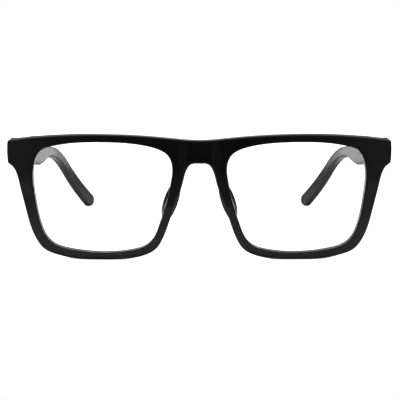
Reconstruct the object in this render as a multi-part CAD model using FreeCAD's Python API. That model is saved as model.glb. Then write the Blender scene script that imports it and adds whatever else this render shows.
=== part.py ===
"""Square full-rim eyeglasses in polished acetate.

The front stands upright and faces -Y, the temples run back along +Y and slope down to their tips, and
+X is the wearer's left. The rims and the temple tips stand on the plane z = 0. All sizes are in mm.
"""
import FreeCAD, Part
import math
import os

V = FreeCAD.Vector

# Lens box and bridge, as an optician measures them
lens_width = 54.0
lens_height = 43.0
bridge_width = 18.4

# Outline of the front
lower_rim = 1.95            # from the lens box down to the lowest point of the rim
brow_rise = 2.1             # from the lens box up to the highest point of the brow
end_piece_length = 9.0      # from the lens box out to the side of the end piece
end_piece_height = 8.7
end_piece_drop = 0.5        # from the lens box down to the top corner of the end piece
bridge_height = 8.7         # from the arch over the nose up to the top of the bridge
bridge_top_drop = 0.0       # from the lens box down to the top of the bridge

# Curves and thickness of the front
front_thickness = 4.0
face_wrap = 5.0             # degrees that each lens turns back to its side
face_radius = 190.0         # curve of the front, across and up
bridge_flat = 3.6           # half width of the flat middle of the bridge
bridge_bend_radius = 12.0
bridge_bend = 12.0          # degrees of the soft bend on each side of the flat
edge_round = 0.7
opening_round = 0.45
corner_round = 1.1
end_piece_depth = 8.1       # from the face, at its side, back to the temple joint
end_block_length = 9.6      # how far the thick end piece reaches inwards from its side
end_block_step = 0.6        # from the edge of the opening to the thick end piece
end_block_slant = 2.2       # how much further in its inner side reaches at the sheet
end_block_slope = 3.2       # length of that slanting side

# Lens and its seat
groove_depth = 0.75
groove_width = 1.1
groove_setback = 0.85       # from the face of the front to the lens at the middle of the opening
lens_thickness = 2.0
lens_radius = 132.0
lens_clearance = 0.05
bevel_width = 0.3

# Nose pads, glued to the backs of the rims
pad_length = 15.0
pad_width = 4.0
pad_depth = 7.6
pad_splay = 2.0             # how far the pad leans outwards over its depth
pad_lean = 19.0             # degrees from upright, along the slanting rim
pad_drop = 1.65             # from the middle of the lens box down to the middle of the pad
pad_out = 1.26              # from the side of the lens box out to the middle of the pad

# Temples
temple_thickness = 3.6
tip_thickness = 2.4
temple_inset = 0.1          # from the side of the end piece in to the temple's outer face
temple_lean = 2.5           # degrees inwards from the hinge
straight_length = 80.0      # up to where the temple starts to curve inwards
inward_radius = 140.0
wide_length = 50.0          # up to where the lower edge sweeps up
bend_at = 87.0              # up to the start of the bend over the ear
bend_radius = 43.5
bend_angle = 32.7
tail_length = 26.8          # from the end of the bend to the middle of the round tip
temple_top = 4.55           # upper edge over the middle of the hinge
neck_centre = 2.4             # middle line at the neck, over the middle of the hinge
neck_width = 4.7
tail_width = 5.2
tip_width = 6.6
temple_round = 0.8
joint_gap = 0.12            # seam between the end piece and the temple

# Core wire inside each temple
core_diameter = 1.3
core_clearance = 0.02
core_recess = 0.4           # from the temple's front end to the wire
core_short = 6.0            # from the middle of the round tip to the wire's end

# Hinge of five knuckles round one screw
knuckle_radius = 1.25
knuckle_height = 1.2
knuckle_gap = 0.05
knuckle_count = 5
hinge_relief = 0.2          # between a knuckle and the leaf or plastic that it passes
leaf_thickness = 0.9
leaf_width = 5.4
leaf_height = 6.0
temple_leaf_length = 9.0
anchor_neck = 1.8
anchor_foot = 3.0
anchor_depth = 1.7
anchor_height = 3.6
screw_radius = 0.7
screw_clearance = 0.02
screw_head_radius = 0.98
screw_head_height = 0.75
screw_seat = 0.4
screw_slot = 0.3

# Places that follow from these sizes
lens_x = (lens_width + bridge_width) / 2
lens_z = lower_rim + lens_height / 2
half_lens_width = lens_width / 2
half_lens_height = lens_height / 2
box_top = lower_rim + lens_height
box_side = lens_x + half_lens_width
half_width = box_side + end_piece_length
end_top = box_top - end_piece_drop
end_bottom = end_top - end_piece_height
hinge_z = (end_top + end_bottom) / 2
bridge_top = box_top - bridge_top_drop
bridge_arch = bridge_top - bridge_height
temple_outer = half_width - temple_inset
temple_inner = temple_outer - temple_thickness
pin_offset = knuckle_radius + hinge_relief
pin_x = temple_inner - pin_offset
knuckle_step = knuckle_height + knuckle_gap
hinge_half = (knuckle_count * knuckle_height + (knuckle_count - 1) * knuckle_gap) / 2


def radians(angle):
    return math.radians(angle)


def line(a, b):
    return Part.LineSegment(a, b).toShape()


def arc(a, b, c):
    return Part.Arc(a, b, c).toShape()


def smooth(points):
    """An open curve through the points."""
    curve = Part.BSplineCurve()
    curve.interpolate(Points=points)
    return curve.toShape()


def across(points, middle_z):
    """One curve through the points, named from the middle outwards, and their mirror images."""
    inwards = [V(-p.x, p.y, p.z) for p in points[::-1]]
    return smooth(inwards + [V(0, 0, middle_z)] + points)


def closed_curve(points):
    curve = Part.BSplineCurve()
    curve.interpolate(Points=points, PeriodicFlag=True)
    return curve


def mirrored(shape):
    return shape.mirror(V(0, 0, 0), V(1, 0, 0))


def both_sides(shape):
    """The wearer's left piece and its mirror image for the right."""
    return {"left": shape, "right": mirrored(shape)}


def box_between(low, high):
    size = high - low
    return Part.makeBox(size.x, size.y, size.z, low)


def tilt_of_temple():
    """The slope in degrees at which the round end of the tip touches the table."""
    tip = temple_path()[-1]
    reach = math.hypot(tip.y, tip.z)
    fall = math.asin((hinge_z - tip_width / 2) / reach)
    return math.degrees(fall - math.atan2(-tip.z, tip.y))


# Front: curved sheet

def plan_arc():
    """The centre of the large arc before the eye, and the angle at which the bridge meets it."""
    bend = radians(bridge_bend)
    arc_x = lens_x - face_radius * math.sin(radians(face_wrap))
    ratio = bridge_bend_radius / face_radius
    join_x = (bridge_flat + 2 * bridge_bend_radius * math.sin(bend) + ratio * arc_x) / (1 + ratio)
    turn = math.asin((arc_x - join_x) / face_radius)
    join_y = bridge_bend_radius * (1 + math.cos(turn) - 2 * math.cos(bend))
    return arc_x, join_y + face_radius * math.cos(turn), turn


def face_y(x):
    """How far the face lies behind the bridge, at lens height and at a distance from the middle."""
    arc_x, arc_y, _ = plan_arc()
    return arc_y - math.sqrt(face_radius ** 2 - (x - arc_x) ** 2)


def joint_y():
    """How far the temple joint lies behind the face of the bridge."""
    return face_y(half_width) + end_piece_depth


def plan_edges(depth):
    """Edges of the front's plan curve from side to side, at a depth behind its face."""
    bend = radians(bridge_bend)
    arc_x, arc_y, turn = plan_arc()
    past_side = math.asin((half_width + 6 - arc_x) / face_radius)

    def bow(centre_x, centre_y, radius, first, last):
        """Three points on a circle, at angles from straight ahead."""
        angles = (first, (first + last) / 2, last)
        return [V(centre_x + radius * math.sin(a), centre_y - radius * math.cos(a), lens_z)
                for a in angles]

    shoulder = bow(bridge_flat, bridge_bend_radius, bridge_bend_radius - depth, 0, bend)
    hollow_x = bridge_flat + 2 * bridge_bend_radius * math.sin(bend)
    hollow_y = bridge_bend_radius - 2 * bridge_bend_radius * math.cos(bend)
    hollow = bow(hollow_x, hollow_y, -(bridge_bend_radius + depth), bend, -turn)
    face = bow(arc_x, arc_y, face_radius - depth, -turn, past_side)
    hollow[0] = shoulder[-1]
    face[0] = hollow[-1]
    half = [arc(*shoulder), arc(*hollow), arc(*face)]
    flat = line(V(-bridge_flat, depth, lens_z), V(bridge_flat, depth, lens_z))
    return half + [flat] + [mirrored(edge) for edge in half], face[-1]


def space_behind(depth):
    """Everything behind the curved face of the front, from a depth below that face."""
    edges, end = plan_edges(depth)
    deep = joint_y() + 8
    other_end = V(-end.x, end.y, end.z)
    corner = V(end.x, deep, end.z)
    other_corner = V(-end.x, deep, end.z)
    edges += [line(end, corner), line(corner, other_corner), line(other_corner, other_end)]
    face = Part.Face(Part.Wire(Part.__sortEdges__(edges)))
    turn = math.degrees(math.asin((half_lens_height + 6) / face_radius))
    axis_point = V(0, face_radius, lens_z)
    face.rotate(axis_point, V(1, 0, 0), -turn)
    return face.revolve(axis_point, V(1, 0, 0), 2 * turn)


# Front: outlines

def box_point(across, up, out=0.0, over=0.0):
    """A point placed by the lens box: across and up run from -1 to 1, and the rest is in mm."""
    return V(lens_x + across * half_lens_width + out, 0, lens_z + up * half_lens_height + over)


def lens_wire(inset):
    """The lens outline on its box, drawn in by an inset, with each point moved square to the curve."""
    shares = [(0.0, 1.0), (0.46, 0.975), (0.74, 0.91), (0.86, 0.85), (0.935, 0.735), (0.975, 0.6),
              (1.0, 0.36), (0.98, 0.08), (0.937, -0.26), (0.885, -0.52), (0.815, -0.717),
              (0.69, -0.863), (0.457, -0.951), (0.02, -1.0), (-0.417, -0.953), (-0.60, -0.88),
              (-0.725, -0.74), (-0.811, -0.5), (-0.926, -0.054), (-0.978, 0.26), (-1.0, 0.47),
              (-0.975, 0.66), (-0.925, 0.765), (-0.852, 0.837), (-0.68, 0.918), (-0.4, 0.978)]
    points = [box_point(*share) for share in shares]
    box_curve = closed_curve(points)
    moved = []
    for point in points:
        along = box_curve.tangent(box_curve.parameter(point))[0]
        moved.append(point + V(along.z, 0, -along.x) * inset)
    return Part.Wire([closed_curve(moved).toShape()])


def outer_wire():
    """The outline of the front: brow, end pieces, rims and the arch over the nose."""
    top_corner = V(half_width - 0.2, 0, end_top)
    low_corner = V(half_width - 0.35, 0, end_bottom)
    brow = [box_point(-0.83, 1, over=0.48 * brow_rise),
            box_point(-0.4, 1, over=0.88 * brow_rise),
            box_point(0, 1, over=brow_rise),
            box_point(0.42, 1, over=0.9 * brow_rise),
            box_point(0.8, 1, over=0.6 * brow_rise),
            top_corner]
    rim = [low_corner,
           V(half_width - 2.6, 0, end_bottom - 1.7),
           V(half_width - 4.0, 0, end_bottom - 4.7),
           V(half_width - 5.0, 0, end_bottom - 8.8),
           box_point(1, -0.2, out=2.1),
           box_point(1, -0.52, out=0.3),
           box_point(1, -1, out=-2.1, over=4.9),
           box_point(1, -1, out=-4.9, over=1.6),
           box_point(1, -1, out=-10.0, over=-0.45),
           box_point(0.4, -1, over=-0.88 * lower_rim),
           box_point(0.03, -1, over=-lower_rim),
           box_point(-0.3, -1, over=-0.86 * lower_rim),
           box_point(-1, -1, out=11.8, over=-0.3),
           box_point(-1, -1, out=7.35, over=2.0),
           box_point(-1, -1, out=4.45, over=6.0),
           box_point(-1, -0.35, out=1.35),
           box_point(-1, 0.0, out=-1.4),
           box_point(-1, 0.3, out=-3.3),
           V(4.55, 0, bridge_arch - 2.4),
           V(3.1, 0, bridge_arch - 0.5)]
    side = arc(top_corner, V(half_width, 0, hinge_z + 0.5), low_corner)
    edges = [across(brow, bridge_top), side, across(rim[::-1], bridge_arch), mirrored(side)]
    return Part.Wire(Part.__sortEdges__(edges))


def prism(wire):
    """A straight block of the outline, through the whole depth of the front."""
    face = Part.Face(wire)
    face.translate(V(0, -10, 0))
    return face.extrude(V(0, joint_y() + 25, 0))


def outer_prism():
    """The block of the front's outline, with the corners of its end pieces rounded."""
    block = prism(outer_wire())
    corners = [edge for edge in block.Edges if edge.BoundBox.YLength > joint_y()]
    return block.makeFillet(corner_round, corners)


# Frame of the hinge and the temple

def place_temple(shape):
    """Move a shape from the temple's own frame to its sloping place at the joint.

    In the temple's frame x is the row's x, y runs back from the joint plane and z is up from the
    middle of the hinge.
    """
    placed = shape.copy()
    placed.rotate(V(0, 0, 0), V(1, 0, 0), -tilt_of_temple())
    placed.translate(V(0, joint_y(), hinge_z))
    return placed


def end_block():
    """The thick part of an end piece, with a slanting inner side and a flat back for the joint."""
    inner = half_width - end_block_length
    front = -joint_y()
    outline = [V(inner - end_block_slant, front, 0), V(half_width + 5, front, 0),
               V(half_width + 5, 0, 0), V(inner, 0, 0), V(inner - end_block_slant, -end_block_slope, 0)]
    wire = Part.makePolygon(outline + [outline[0]])
    block = Part.Face(wire).extrude(V(0, 0, end_piece_height + 4))
    block.translate(V(0, 0, -end_piece_height / 2))
    return place_temple(block)


def behind_joint():
    """The space behind the joint plane, which belongs to the temple."""
    size = 2 * half_width
    return place_temple(box_between(V(box_side - end_block_slant, 0, -end_piece_height),
                                    V(size, size, end_piece_height)))


def on_surface(edge, depth):
    """Whether an edge lies on the front's face, or on the surface at a depth behind it."""
    wire = Part.Wire(Part.__sortEdges__(plan_edges(depth)[0]))
    for share in (0.1, 0.5, 0.9):
        point = edge_point(edge, share)
        reach = math.hypot(point.y - face_radius, point.z - lens_z)
        in_plan = V(point.x, face_radius - reach, lens_z)
        if wire.distToShape(Part.Vertex(in_plan))[0] > 0.02:
            return False
    return True


def edge_point(edge, share):
    """The point at a share of the way along an edge."""
    return edge.valueAt(edge.FirstParameter + share * (edge.LastParameter - edge.FirstParameter))


def is_seam(edge):
    """Whether an edge only parts two stretches of the curved face."""
    across_x = [edge_point(edge, share).x for share in (0, 0.5, 1)]
    return max(across_x) - min(across_x) < 0.02 and abs(across_x[0]) < lens_x / 2


def rim_edges(shape, depth, shortest=0.0):
    """The edges of a shape at one depth of the front that can be rounded."""
    return [edge for edge in shape.Edges
            if edge.Length > shortest and not is_seam(edge) and on_surface(edge, depth)]


def rounded(shape, radius, edges):
    return shape.makeFillet(radius, edges).Solids[0]


def left_half(shape):
    """The part of a shape on the wearer's left of the middle."""
    size = 2 * half_width
    return shape.common(Part.makeBox(size, 2 * size, 2 * size, V(0, -size, -size))).Solids[0]


def make_front(cutters):
    """The front: rounded sheet, openings, end pieces, and the cuts for lens, hinge and screws."""
    slab = space_behind(0).common(outer_prism()).Solids[0]
    slab = rounded(slab, edge_round, rim_edges(slab, 0))
    ring = slab.cut(space_behind(front_thickness)).Solids[0]
    ring = left_half(rounded(ring, edge_round, rim_edges(ring, front_thickness)))
    ring = ring.cut(prism(lens_wire(groove_depth))).Solids[0]
    for depth in (0, front_thickness):
        ring = rounded(ring, opening_round, rim_edges(ring, depth, lens_width))
    block = end_block().cut(prism(lens_wire(groove_depth - end_block_step)))
    half = ring.cut(block).fuse(block.common(left_half(slab)))
    for cutter in cutters + [behind_joint()]:
        half = half.cut(cutter)
    half = half.removeSplitter().Solids[0]
    return half.fuse(mirrored(half)).removeSplitter().Solids[0]


# Lenses

def lens_axis():
    """The middle of a lens on the front's face, and the direction straight back through it."""
    wrap = radians(face_wrap)
    return V(lens_x, face_y(lens_x), lens_z), V(-math.sin(wrap), math.cos(wrap), 0)


def ball(radius, depth):
    """A ball whose front lies at a depth behind the face, under the middle of the lens."""
    middle, back = lens_axis()
    return Part.makeSphere(radius, middle + back * (depth + radius))


def curved_layer(depth, thickness):
    """A layer of the lens curve, between two depths behind the face."""
    return ball(lens_radius, depth).cut(ball(lens_radius - thickness, depth + thickness))


def lens_tongue(grow, thickness, bevel):
    """The bevelled edge of the lens, or with some growth the groove that it sits in."""
    depth = groove_setback + (lens_thickness - thickness) / 2
    tongue = curved_layer(depth, thickness).common(prism(lens_wire(-grow))).Solids[0]
    tips = [edge for edge in tongue.Edges if edge.Length > 2 * lens_width]
    return tongue.makeChamfer(bevel, tips)


def make_groove():
    return lens_tongue(0.0, groove_width, bevel_width)


def make_lens():
    """A clear curved lens with its bevel all round."""
    body = curved_layer(groove_setback, lens_thickness)
    body = body.common(prism(lens_wire(groove_depth + lens_clearance)))
    tongue = lens_tongue(-lens_clearance, groove_width - 2 * lens_clearance, bevel_width)
    return body.fuse(tongue).removeSplitter().Solids[0]


# Nose pads

def pad_section(depth, length, width, lean_out):
    """An oval across the pad, at a depth behind the face of the bridge."""
    oval = Part.Ellipse(V(0, 0, 0), length / 2, width / 2).toShape()
    wire = Part.Wire([oval])
    wire.rotate(V(0, 0, 0), V(0, 1, 0), -90)
    wire.rotate(V(0, 0, 0), V(0, 0, 1), 90)
    wire.rotate(V(0, 0, 0), V(0, 1, 0), -pad_lean)
    wire.translate(V(bridge_width / 2 + pad_out + lean_out, depth, lens_z - pad_drop))
    return wire


def make_pad():
    """A fin of plastic that stands on the rim's back, leans out and ends in a rounded edge."""
    sections = []
    for share in (-0.2, 0.0, 0.35, 0.65, 0.85, 0.96, 0.998):
        swell = math.sqrt(1 - max(share, 0) ** 3)
        sections.append(pad_section(front_thickness + share * pad_depth, pad_length * swell,
                                    pad_width * swell, share * pad_splay))
    fin = Part.makeLoft(sections, True, False)
    return fin.cut(space_before(front_thickness)).Solids[0]


def space_before(depth):
    """Everything before the surface at a depth behind the front's face, near the bridge."""
    size = 2 * half_width
    whole = Part.makeBox(size, joint_y() + 12, lens_height, V(-half_width, -5, lower_rim))
    return whole.cut(space_behind(depth))


# Temples

def temple_path():
    """Middle line of the temple's blade seen from the side: bend start, middle, end and tip centre."""
    turn = radians(bend_angle)
    points = []
    for angle in (0, turn / 2, turn):
        points.append(V(0, bend_at + bend_radius * math.sin(angle),
                        neck_centre - bend_radius * (1 - math.cos(angle))))
    end = points[-1]
    points.append(V(0, end.y + tail_length * math.cos(turn), end.z - tail_length * math.sin(turn)))
    return points


def temple_side():
    """The temple seen from the side: wide front, sweep up to the neck, ear bend and round tip."""
    turn = radians(bend_angle)
    start, middle, end, tip = temple_path()
    bend_width = (neck_width + tail_width) / 2

    def edge_points(side):
        placed = []
        for point, angle, width in ((start, 0, neck_width), (middle, turn / 2, bend_width),
                                    (end, turn, tail_width), (tip, turn, tip_width)):
            normal = V(0, math.sin(angle), math.cos(angle))
            placed.append(point + normal * (side * width / 2))
        return placed

    upper = edge_points(1)
    lower = edge_points(-1)
    tip_end = tip + V(0, math.cos(turn), -math.sin(turn)) * (tip_width / 2)
    bottom = -end_piece_height / 2
    corner = V(0, wide_length, bottom)
    sweep_length = bend_at - wide_length
    sweep = [lower[0], V(0, wide_length + 0.66 * sweep_length, neck_centre - 0.54 * neck_width),
             V(0, wide_length + 0.28 * sweep_length, bottom + 0.25 * (neck_centre - bottom)), corner]
    upper_front = V(0, joint_gap, temple_top)
    lower_front = V(0, joint_gap, bottom)
    edges = [line(lower_front, upper_front), line(upper_front, upper[0]),
             smooth(upper), arc(upper[-1], tip_end, lower[-1]),
             smooth(lower[::-1] + sweep[1:]), line(corner, lower_front)]
    return Part.Face(Part.Wire(Part.__sortEdges__(edges)))


def curved_x(back, start_x, radius):
    """The x of a line seen from above: straight at the temple's lean, then curved inwards."""
    lean = radians(temple_lean)
    if back <= straight_length:
        return start_x - back * math.tan(lean)
    start_x -= straight_length * math.tan(lean)
    along = back - straight_length + radius * math.sin(lean)
    return start_x - radius * math.cos(lean) + math.sqrt(radius ** 2 - along ** 2)


def inner_x(back):
    """The temple's inner face at a distance back from the joint."""
    return curved_x(back, temple_inner, inward_radius)


def outer_x(back):
    """The temple's outer face, whose wider curve thins the temple down to its tip."""
    lean = radians(temple_lean)
    start_x = temple_inner + temple_thickness / math.cos(lean)
    run = blade_end() - straight_length
    drop = start_x - straight_length * math.tan(lean) - inner_x(blade_end()) - tip_thickness
    radius = (run ** 2 + drop ** 2) / (2 * (drop * math.cos(lean) - run * math.sin(lean)))
    return curved_x(back, start_x, radius)


def blade_end():
    """How far back the temple's plan reaches, past its tip."""
    return temple_path()[-1].y + tip_width


def temple_plan():
    """The temple seen from above: straight, then curved inwards, and thinner towards its tip."""
    stations = (straight_length, (straight_length + blade_end()) / 2, blade_end())
    inner = [V(inner_x(back), back, 0) for back in stations]
    outer = [V(outer_x(back), back, 0) for back in stations]
    first_inner = V(inner_x(0), 0, 0)
    first_outer = V(outer_x(0), 0, 0)
    edges = [line(first_inner, inner[0]), arc(*inner), line(inner[-1], outer[-1]), arc(*outer[::-1]),
             line(outer[0], first_outer), line(first_outer, first_inner)]
    return Part.Face(Part.Wire(Part.__sortEdges__(edges)))


def make_temple(cutters):
    """The temple blade: its side and plan outlines crossed, rounded, and cut for hinge and core."""
    reach = 2 * half_width
    side = temple_side()
    plan = temple_plan()
    plan.translate(V(0, 0, -reach / 2))
    blade = side.extrude(V(reach, 0, 0)).common(plan.extrude(V(0, 0, reach))).Solids[0]
    long_edges = [edge for edge in blade.Edges
                  if edge.BoundBox.YLength > 1.5 and edge.BoundBox.XLength < edge.BoundBox.YLength]
    blade = rounded(blade, temple_round, long_edges)
    for cutter in cutters:
        blade = blade.cut(cutter)
    return place_temple(blade.Solids[0])


# Core wires

def core_points():
    """Corners of the wire's route: straight runs along the middle of the temple."""
    turn = radians(bend_angle)
    tail = V(0, math.cos(turn), -math.sin(turn))
    start, middle, end, tip = temple_path()
    corner = bend_radius * math.tan(turn / 4)
    half_way = V(0, math.cos(turn / 2), -math.sin(turn / 2))
    route = [V(0, joint_gap + core_recess, 0), V(0, 0.35 * bend_at, 0.2 * neck_centre),
             V(0, 0.68 * bend_at, 0.7 * neck_centre), start, start + V(0, corner, 0),
             middle + half_way * corner, end + tail * (tail_length / 3), tip - tail * core_short]
    return [V(0.45 * inner_x(point.y) + 0.55 * outer_x(point.y), point.y, point.z)
            for point in route]


def wire_path(points):
    """Straight runs joined by arcs that touch them."""
    edges = []
    here = points[0]
    for before, corner, after in zip(points, points[1:], points[2:]):
        back = (before - corner)
        on = (after - corner)
        shorter = min(back.Length, on.Length)
        turn = math.pi - back.getAngle(on)
        cut = 0.45 * shorter
        radius = cut / math.tan(turn / 2)
        first = corner + back.normalize() * cut
        last = corner + on.normalize() * cut
        inwards = (back + on).normalize()
        middle = corner + inwards * (radius / math.cos(turn / 2) - radius)
        edges += [line(here, first), arc(first, middle, last)]
        here = last
    edges.append(line(here, points[-1]))
    return Part.Wire(edges)


def wire_tube(radius):
    points = core_points()
    path = wire_path(points)
    ring = Part.Wire([Part.Circle(points[0], (points[1] - points[0]).normalize(), radius).toShape()])
    return path.makePipeShell([ring], True, False)


# Hinges, drawn in the temple's frame before they are placed

def cylinder(radius, bottom, top):
    return Part.makeCylinder(radius, top - bottom, V(pin_x, pin_offset, bottom))


def knuckle_bottom(index):
    return -hinge_half + index * knuckle_step


def knuckle(index, low, high):
    """A barrel with its web, whose outline is a box between two corners seen from above."""
    bottom = knuckle_bottom(index)
    web = box_between(V(low.x, low.y, bottom), V(high.x, high.y, bottom + knuckle_height))
    return cylinder(knuckle_radius, bottom, bottom + knuckle_height).fuse(web)


def leaf_box(low_x, high_x, low_y, high_y, height):
    return box_between(V(low_x, low_y, -height / 2), V(high_x, high_y, height / 2))


def front_leaf_solid():
    """The leaf in the end piece: plate, anchor sunk in the plastic, and the odd knuckles."""
    right = pin_x + knuckle_radius
    plate = leaf_box(right - leaf_width, right, -leaf_thickness, 0, leaf_height)
    middle = right - leaf_width / 2
    neck = leaf_box(middle - anchor_neck / 2, middle + anchor_neck / 2,
                    -leaf_thickness - anchor_depth, 0, anchor_height)
    foot = leaf_box(middle - anchor_foot / 2, middle + anchor_foot / 2,
                    -leaf_thickness - anchor_depth, -leaf_thickness - anchor_depth / 2, anchor_height)
    leaf = plate.fuse(neck).fuse(foot)
    for index in range(0, knuckle_count, 2):
        leaf = leaf.fuse(knuckle(index, V(pin_x - knuckle_radius, -leaf_thickness / 2, 0),
                                 V(pin_x + knuckle_radius, pin_offset, 0)))
    return leaf.removeSplitter()


def front_leaf_pocket():
    """The hollow that the plate and anchor fill."""
    solid = front_leaf_solid()
    behind = box_between(V(0, -50, -50), V(2 * half_width, 0, 50))
    return solid.common(behind)


def temple_leaf_solid():
    """The leaf on the temple: a plate let into its inner face, and the even knuckles."""
    plate = box_between(V(temple_inner, joint_gap + hinge_relief, -leaf_height / 2),
                        V(temple_inner + leaf_thickness, temple_leaf_length, leaf_height / 2))
    leaf = plate
    for index in range(1, knuckle_count, 2):
        leaf = leaf.fuse(knuckle(index, V(pin_x, pin_offset - knuckle_radius, 0),
                                 V(temple_inner + leaf_thickness / 2, pin_offset + knuckle_radius, 0)))
    return leaf.removeSplitter()


def temple_leaf_pocket():
    """The seat in the temple's inner face, open to the hinge and filled by the plate."""
    return box_between(V(temple_inner - 1, joint_gap - 1, -leaf_height / 2),
                       V(temple_inner + leaf_thickness, temple_leaf_length, leaf_height / 2))


def bore_cutter(radius):
    return cylinder(radius, -hinge_half - 1, hinge_half + 1)


def screw_solid(clearance):
    """The hinge screw, or with a clearance the hole that it turns in."""
    shank = cylinder(screw_radius + clearance, -hinge_half, hinge_half)
    head = cylinder(screw_head_radius + clearance, hinge_half - screw_seat,
                    hinge_half - screw_seat + screw_head_height)
    return shank.fuse(head).removeSplitter()


def make_screw():
    screw = screw_solid(0)
    top = hinge_half - screw_seat + screw_head_height
    slot = box_between(V(pin_x - 2, pin_offset - screw_slot / 2, top - screw_slot),
                       V(pin_x + 2, pin_offset + screw_slot / 2, top + 1))
    return place_temple(screw.cut(slot))


def make_front_leaf():
    leaf = front_leaf_solid().cut(screw_solid(screw_clearance))
    return place_temple(leaf)


def make_temple_leaf():
    leaf = temple_leaf_solid().cut(bore_cutter(screw_radius + screw_clearance))
    return place_temple(leaf)


def main():
    """Build every piece, stand the whole on the middle of its base, and write one file for each."""
    left = {"lens": make_lens(), "nose_pad": make_pad(),
            "front_hinge": make_front_leaf(), "temple_hinge": make_temple_leaf(),
            "hinge_screw": make_screw(),
            "temple": make_temple([temple_leaf_pocket(), wire_tube(core_diameter / 2 + core_clearance)]),
            "temple_core": place_temple(wire_tube(core_diameter / 2))}
    pieces = {"front": make_front([make_groove(), place_temple(front_leaf_pocket())])}
    for name, shape in left.items():
        for side, copy in both_sides(shape).items():
            pieces[name + "_" + side] = copy
    whole = Part.makeCompound(list(pieces.values()))
    box = whole.optimalBoundingBox(True, False)
    base = V((box.XMin + box.XMax) / 2, (box.YMin + box.YMax) / 2, box.ZMin)
    os.makedirs("parts", exist_ok=True)
    for name, shape in pieces.items():
        shape.translate(-base)
        shape.exportStep("parts/" + name + ".step")
    report(pieces, base)


def report(pieces, base):
    """Print the sizes that the record states."""
    for name, shape in pieces.items():
        box = shape.optimalBoundingBox(True, False)
        corners = [round(v, 3) for v in (box.XMin, box.XMax, box.YMin, box.YMax, box.ZMin, box.ZMax)]
        print(name, shape.isValid(), len(shape.Solids), round(shape.Volume, 2), corners)
    pin = place_temple(Part.Vertex(V(pin_x, pin_offset, 0)))
    top = place_temple(Part.Vertex(V(pin_x, pin_offset, 1)))
    print("hinge point", [round(v, 4) for v in pin.Point - base])
    print("hinge axis", [round(v, 6) for v in top.Point - pin.Point])
    print("temple slope", round(tilt_of_temple(), 4), "base", [round(v, 4) for v in base])


if __name__ == "__main__":
    main()
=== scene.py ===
"""Square full-rim eyeglasses in polished black acetate: their smooth surfaces, finishes, stage and light.

Lengths are in millimetres in the maker's own frame, which has its origin between the rims' lowest
points and under the face of the bridge. Seat.place turns them into metres in the row frame.
"""
from __future__ import annotations

import bisect
import logging
import math
from dataclasses import dataclass, field
from enum import Enum
from typing import Callable, Iterable, Sequence

import bmesh
import bpy
from bmesh.types import BMEdge, BMesh, BMVert
from bpy.types import Material, Node, NodeSocket, NodeTree, Object
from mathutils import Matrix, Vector
from mathutils.geometry import interpolate_bezier

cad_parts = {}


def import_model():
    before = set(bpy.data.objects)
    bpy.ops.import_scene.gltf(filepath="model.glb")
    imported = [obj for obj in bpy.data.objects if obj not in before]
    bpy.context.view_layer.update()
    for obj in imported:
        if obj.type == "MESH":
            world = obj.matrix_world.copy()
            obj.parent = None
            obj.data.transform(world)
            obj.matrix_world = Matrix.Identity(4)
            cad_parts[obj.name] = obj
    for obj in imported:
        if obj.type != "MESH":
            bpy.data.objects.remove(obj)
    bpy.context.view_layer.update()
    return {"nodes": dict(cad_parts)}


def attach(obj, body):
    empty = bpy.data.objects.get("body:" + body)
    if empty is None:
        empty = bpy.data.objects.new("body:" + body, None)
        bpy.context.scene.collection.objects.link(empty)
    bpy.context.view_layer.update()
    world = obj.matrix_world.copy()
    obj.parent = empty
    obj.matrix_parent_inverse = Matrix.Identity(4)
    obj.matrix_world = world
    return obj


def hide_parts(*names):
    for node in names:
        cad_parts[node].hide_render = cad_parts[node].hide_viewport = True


LOG = logging.getLogger("eyeglasses")
MM = 0.001
SIDES = {"left": 1.0, "right": -1.0}
WELD = 2e-6
FINE_WELD = 2e-7
WHITE = (1, 1, 1, 1)
Triple = tuple[float, float, float]
Placer = Callable[[int], Vector]


class Slot(Enum):
    """The material slots."""

    ACETATE = "acetate"
    LENS = "lens"
    HINGE = "hinge"
    SCREW = "screw"
    CORE = "core"


class Body(Enum):
    """The bodies that pieces ride on."""

    FRONT = "front_frame"
    LEFT = "left_temple"
    RIGHT = "right_temple"


# Curves

def within(share: float) -> float:
    """A share kept between 0 and 1."""
    return min(max(share, 0), 1)


def smooth_run(points: Sequence[Vector], steps: int, closed: bool = False) -> list[Vector]:
    """Sample the evenly bending curve through points.

    Args:
        points: the points that the curve passes through, in order.
        steps: how many samples each stretch between two points gets.
        closed: whether the curve comes back to its first point.

    Returns:
        The samples, without a repeated last point where the curve is closed.
    """
    if closed:
        around = 6
        run = smooth_run([*points[-around:], *points, *points[:around]], steps)
        return run[around * steps:(around + len(points)) * steps]
    lengths = [(after - before).length for before, after in zip(points, points[1:])]
    chords = [(after - before) / reach for before, after, reach in zip(points, points[1:], lengths)]
    first = chords[0] - (chords[1] - chords[0]) * (lengths[0] / (lengths[0] + lengths[1]))
    last = chords[-1] + (chords[-1] - chords[-2]) * (lengths[-1] / (lengths[-1] + lengths[-2]))
    shares, slopes = [0.0], [first]
    for i in range(1, len(points) - 1):
        before, after = lengths[i - 1], lengths[i]
        wanted = (chords[i - 1] * after + chords[i] * before) * 3 - slopes[-1] * after
        weight = 2 * (before + after) - after * shares[-1]
        shares.append(before / weight)
        slopes.append(wanted / weight)
    slopes.append(last)
    for i in range(len(points) - 2, 0, -1):
        slopes[i] = slopes[i] - slopes[i + 1] * shares[i]
    samples: list[Vector] = []
    for i, reach in enumerate(lengths):
        handles = points[i] + slopes[i] * (reach / 3), points[i + 1] - slopes[i + 1] * (reach / 3)
        samples += interpolate_bezier(points[i], *handles, points[i + 1], steps + 1)[:-1]
    return samples + [points[-1].copy()]


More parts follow.
